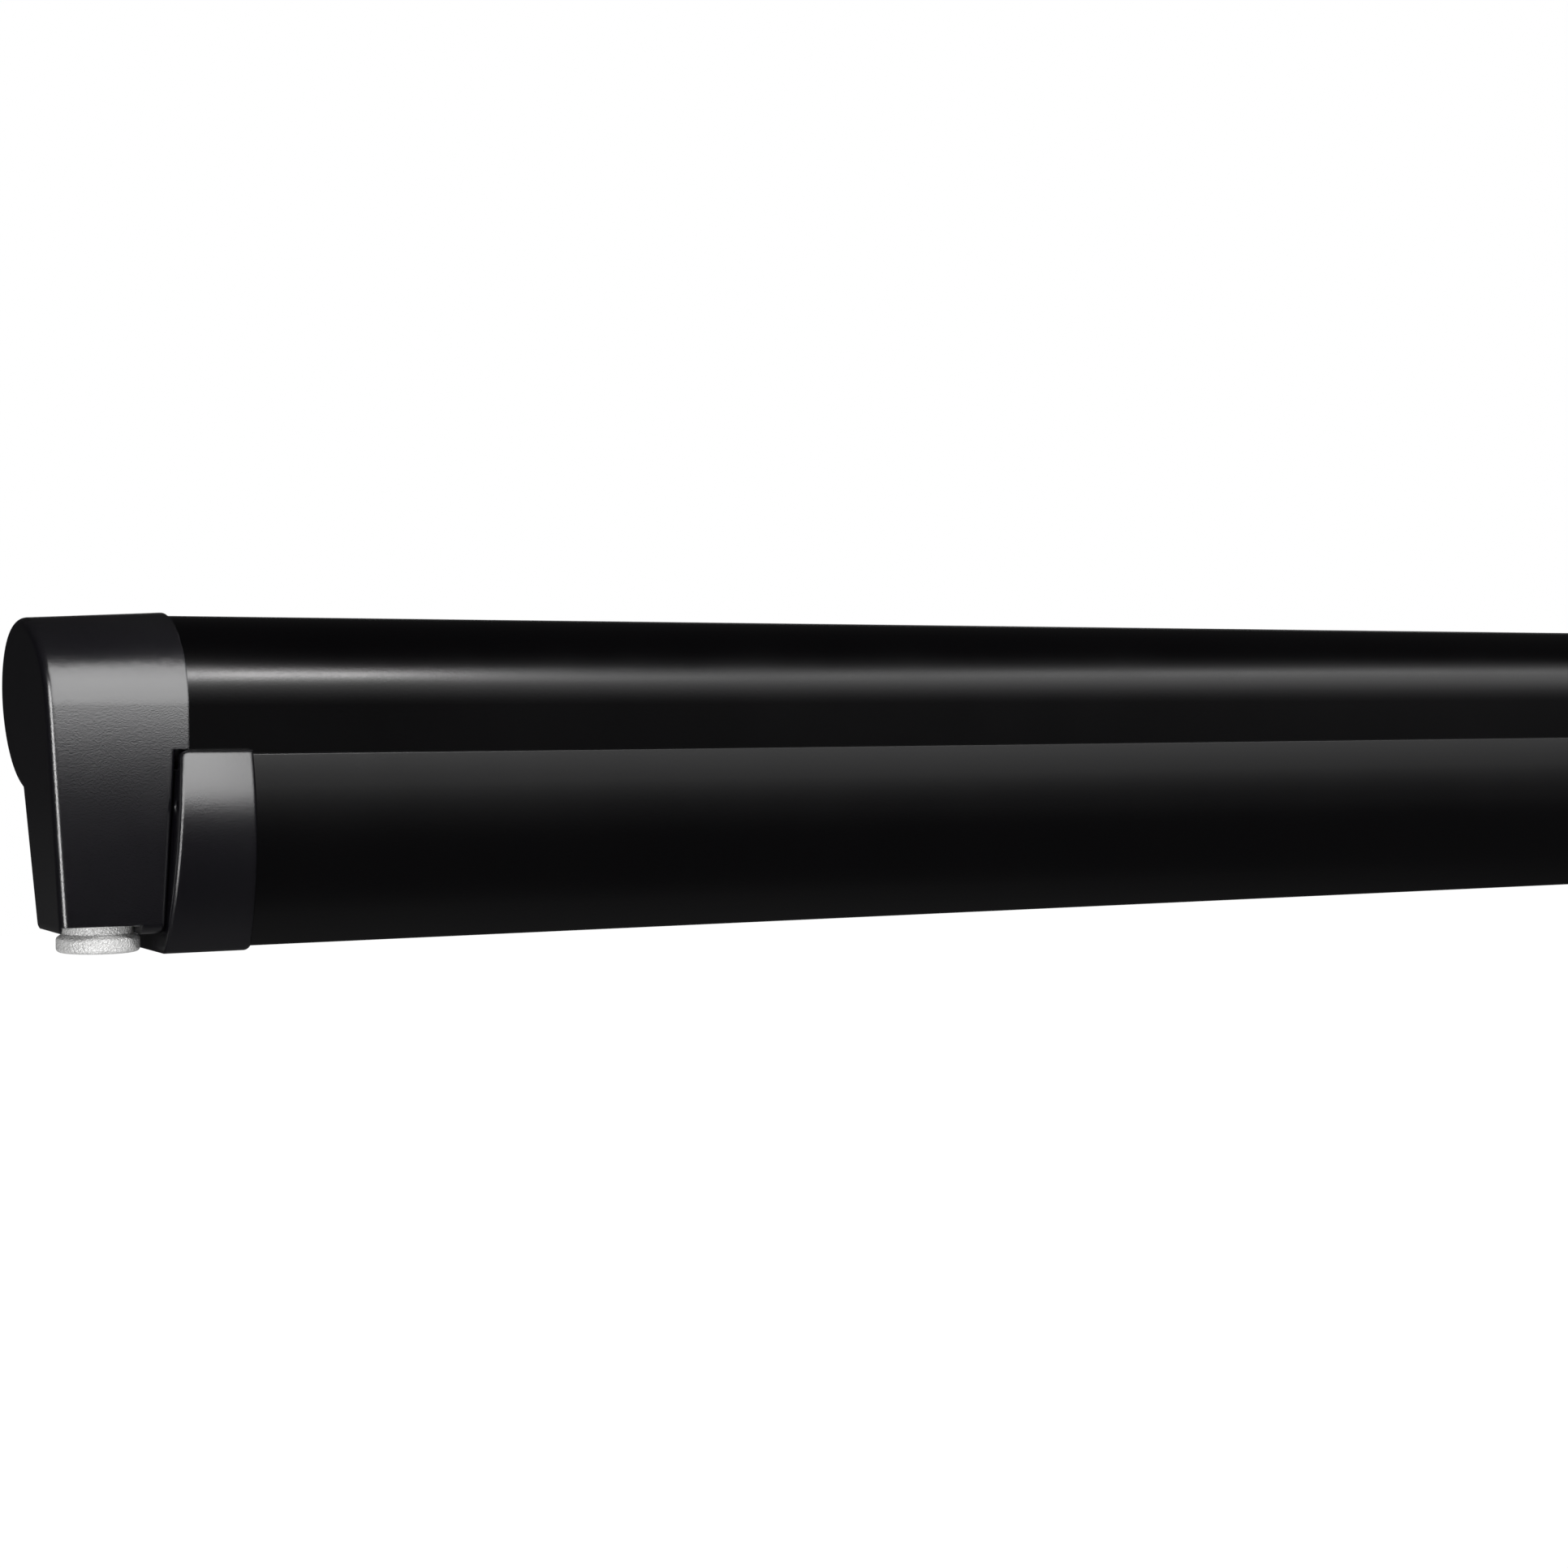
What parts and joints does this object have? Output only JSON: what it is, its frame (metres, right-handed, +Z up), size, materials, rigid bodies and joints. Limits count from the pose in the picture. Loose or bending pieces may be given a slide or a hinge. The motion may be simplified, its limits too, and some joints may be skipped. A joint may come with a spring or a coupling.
{
  "type": "roll out awning",
  "caption": "Wall mounted cassette awning: a hand crank rolls fabric out with a lead rail on folding arms, and legs fold down out of the rail.",
  "frame": {"origin": "in the wall plane, in the middle of the four outer wall bolts", "axes": "+X along the awning to the right seen from the front, +Y into the wall, +Z up"},
  "size_m": [2.6034, 0.0898, 0.1296],
  "materials": {
    "powder_black": "satin powder coat",
    "bracket_black": "satin powder coat",
    "cap_black": "fine grained",
    "seal_black": "matt",
    "cast_alloy": "cast",
    "zinc_steel": "zinc plated",
    "bright_steel": "ground",
    "cast_zinc": "cast, tumbled",
    "gear_brass": "machined",
    "inner_plastic": "moulded",
    "awning_fabric": "coated weave",
    "hem_cord": "woven",
    "arm_black": "satin powder coat",
    "leg_alloy": "anodised",
    "leg_plastic": "moulded"
  },
  "bodies": {
    "awning_case": {"case_profile": "powder_black", "front_seal": "seal_black", "shoulder_bracket_left": "cast_alloy", "shoulder_bracket_right": "cast_alloy", "shoulder_screws": "zinc_steel", "shoulder_pins": "bright_steel", "wall_brackets": "bracket_black", "bracket_clamp_bolts": "zinc_steel", "gearbox_housing": "cast_alloy", "idler_housing": "cast_alloy", "end_plate_left": "zinc_steel", "end_plate_right": "zinc_steel", "end_screws": "zinc_steel", "end_cap_left": "cap_black", "end_cap_right": "cap_black"},
    "roller": {"roller_tube": "zinc_steel", "fabric_roll": "awning_fabric", "drive_plug": "inner_plastic", "idler_plug": "inner_plastic", "worm_wheel": "gear_brass"},
    "crank": {"worm_shaft": "bright_steel", "crank_socket": "cast_zinc", "crank_cross_pin": "bright_steel"},
    "upper_arm_left": {"upper_arm_tube_left": "arm_black", "shoulder_knuckle_left": "cast_alloy", "elbow_fork_left": "cast_alloy", "elbow_pin_left": "bright_steel", "arm_spring_left": "bright_steel"},
    "upper_arm_right": {"upper_arm_tube_right": "arm_black", "shoulder_knuckle_right": "cast_alloy", "elbow_fork_right": "cast_alloy", "elbow_pin_right": "bright_steel", "arm_spring_right": "bright_steel"},
    "forearm_left": {"forearm_tube_left": "arm_black", "elbow_lug_left": "cast_alloy", "wrist_knuckle_left": "cast_alloy"},
    "forearm_right": {"forearm_tube_right": "arm_black", "elbow_lug_right": "cast_alloy", "wrist_knuckle_right": "cast_alloy"},
    "lead_rail": {"lead_rail_profile": "powder_black", "lead_rail_cap_left": "cap_black", "lead_rail_cap_right": "cap_black", "lead_rail_screws": "zinc_steel", "wrist_bracket_left": "cast_alloy", "wrist_bracket_right": "cast_alloy", "lead_rail_pins": "bright_steel", "hem_bead": "hem_cord"},
    "fabric_front": {"fabric_span": "awning_fabric"},
    "upper_leg_left": {"leg_hinge_left": "leg_plastic", "leg_upper_tube_left": "leg_alloy", "leg_clamp_left": "leg_plastic"},
    "lower_leg_left": {"leg_lower_tube_left": "leg_alloy"},
    "lever_left": {"leg_lever_left": "leg_plastic"},
    "foot_left": {"leg_foot_left": "leg_plastic"},
    "upper_leg_right": {"leg_hinge_right": "leg_plastic", "leg_upper_tube_right": "leg_alloy", "leg_clamp_right": "leg_plastic"},
    "lower_leg_right": {"leg_lower_tube_right": "leg_alloy"},
    "lever_right": {"leg_lever_right": "leg_plastic"},
    "foot_right": {"leg_foot_right": "leg_plastic"}
  },
  "joints": [
    {"name": "shoulder_left", "type": "hinge", "parent": "awning_case", "child": "upper_arm_left", "pos_m": [-1.2, -0.05225, -0.02836], "axis": [0, 0.1392, -0.9903], "range_deg": [0, 68]},
    {"name": "elbow_left", "type": "hinge", "parent": "upper_arm_left", "child": "forearm_left", "pos_m": [-0.12005, -0.06216, -0.02975], "axis": [0, -0.1392, 0.9903], "range_deg": [0, 136]},
    {"name": "wrist_left", "type": "hinge", "parent": "forearm_left", "child": "lead_rail", "pos_m": [-1.2, -0.07206, -0.03114], "axis": [0, 0.1392, -0.9903], "range_deg": [0, 68]},
    {"name": "shoulder_right", "type": "hinge", "parent": "awning_case", "child": "upper_arm_right", "pos_m": [1.2, -0.05225, -0.02836], "axis": [0, -0.1392, 0.9903], "range_deg": [0, 68]},
    {"name": "elbow_right", "type": "hinge", "parent": "upper_arm_right", "child": "forearm_right", "pos_m": [0.12005, -0.06216, -0.02975], "axis": [0, 0.1392, -0.9903], "range_deg": [0, 136]},
    {"name": "fabric_out", "type": "slide", "parent": "awning_case", "child": "fabric_front", "axis": [0, -0.9903, -0.1392], "range_m": [0, 1.99012]},
    {"name": "roller_turn", "type": "hinge", "parent": "awning_case", "child": "roller", "pos_m": [0, -0.046, 0.022], "axis": [-1, 0, 0], "range_deg": [0, 4866.43]},
    {"name": "crank_turn", "type": "hinge", "parent": "awning_case", "child": "crank", "pos_m": [-1.2765, -0.062, 0.022], "axis": [0, 0, -1], "range_deg": [0, 37308.89]},
    {"name": "leg_swing_left", "type": "hinge", "parent": "lead_rail", "child": "upper_leg_left", "pos_m": [-1.206, -0.0706, -0.0582], "axis": [0, 1, 0], "range_deg": [0, 90]},
    {"name": "leg_slide_left", "type": "slide", "parent": "upper_leg_left", "child": "lower_leg_left", "axis": [1, 0, 0], "range_m": [0, 0.85]},
    {"name": "lever_swing_left", "type": "hinge", "parent": "upper_leg_left", "child": "lever_left", "pos_m": [0.045, -0.0706, -0.0685], "axis": [0, -1, 0], "range_deg": [0, 90]},
    {"name": "foot_swing_left", "type": "hinge", "parent": "lower_leg_left", "child": "foot_left", "pos_m": [0.06, -0.0706, -0.0582], "axis": [0, 1, 0], "range_deg": [0, 90]},
    {"name": "leg_swing_right", "type": "hinge", "parent": "lead_rail", "child": "upper_leg_right", "pos_m": [1.206, -0.0545, -0.0582], "axis": [0, -1, 0], "range_deg": [0, 90]},
    {"name": "leg_slide_right", "type": "slide", "parent": "upper_leg_right", "child": "lower_leg_right", "axis": [-1, 0, 0], "range_m": [0, 0.85]},
    {"name": "lever_swing_right", "type": "hinge", "parent": "upper_leg_right", "child": "lever_right", "pos_m": [-0.045, -0.0545, -0.0685], "axis": [0, 1, 0], "range_deg": [0, 90]},
    {"name": "foot_swing_right", "type": "hinge", "parent": "lower_leg_right", "child": "foot_right", "pos_m": [-0.06, -0.0545, -0.0582], "axis": [0, -1, 0], "range_deg": [0, 90]}
  ],
  "couplings": [
    {"joint": "elbow_left", "follows": "shoulder_left", "ratio": 2},
    {"joint": "wrist_left", "follows": "shoulder_left", "ratio": 1},
    {"joint": "shoulder_right", "follows": "shoulder_left", "ratio": 1},
    {"joint": "elbow_right", "follows": "shoulder_left", "ratio": 2},
    {"joint": "fabric_out", "follows": "shoulder_left", "m_per_rad": 1.6768},
    {"joint": "roller_turn", "follows": "shoulder_left", "ratio": 71.565},
    {"joint": "crank_turn", "follows": "shoulder_left", "ratio": 548.66}
  ]
}
